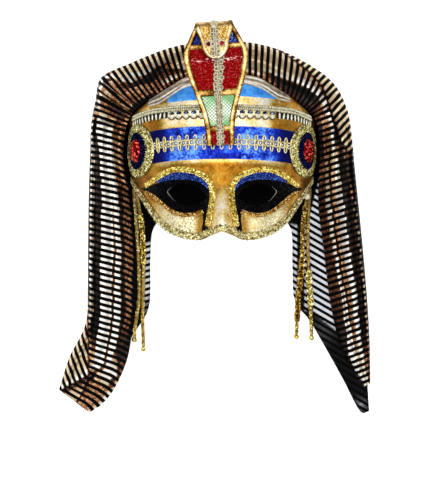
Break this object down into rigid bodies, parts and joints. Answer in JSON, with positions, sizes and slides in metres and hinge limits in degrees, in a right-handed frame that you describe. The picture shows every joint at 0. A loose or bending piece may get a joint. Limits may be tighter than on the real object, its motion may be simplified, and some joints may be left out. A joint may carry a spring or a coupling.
{
  "type": "pharaoh half mask",
  "caption": "Gilded half mask with tiara band, cobra ornament, side medallions, striped cloth headdress and hanging sequin strands, lying face up.",
  "frame": {"origin": "on the underside of the headdress cloth, below the line between the medallions' centres, on the middle of the face", "axes": "+X to the right of the picture, +Y up the face to the crown, +Z out of the face, up from the floor"},
  "size_m": [0.3, 0.3678, 0.0976],
  "materials": {
    "gilded_shell": "gold foil, glossy, lightly crackled, with painted bands",
    "satin_ribbon": "silver-grey satin",
    "lace": "pale gold thread with blue stones",
    "gimp": "pale silver-gold thread",
    "gold_braid": "yellow gold sequin braid",
    "amber_braid": "amber gold chain braid",
    "medallion": "navy cloth",
    "sequins": "gold sequins, glossy",
    "red_gem": "red glitter, glossy",
    "cobra": "gold with red, green and blue glitter panels",
    "striped_cloth": "black cloth with champagne gold foil stripes",
    "pearl": "pearl"
  },
  "bodies": {
    "root": {"mask_shell": "gilded_shell", "crown_ribbon": "satin_ribbon", "crown_lace": "lace", "band_gimp": "gimp", "edge_braid": "gimp", "brow_braid_left": "gold_braid", "brow_braid_right": "gold_braid", "lid_braid_left": "amber_braid", "lid_braid_right": "amber_braid", "medallion_left": "medallion", "medallion_right": "medallion", "medallion_ring_left": "sequins", "medallion_ring_right": "sequins", "medallion_gem_left": "red_gem", "medallion_gem_right": "red_gem", "cobra_ornament": "cobra", "cobra_hood_braid": "gimp", "cobra_head_braid": "gimp", "cobra_eye_left": "red_gem", "cobra_eye_right": "red_gem", "headdress_cloth": "striped_cloth", "strand_left_outer": "sequins", "strand_left_outer_bead": "sequins", "strand_left_inner": "sequins", "strand_left_inner_bead": "sequins", "strand_right_outer": "sequins", "strand_right_outer_bead": "sequins", "strand_right_inner": "sequins", "strand_right_inner_bead": "sequins", "strand_right_inner_pearl": "pearl"}
  },
  "joints": []
}
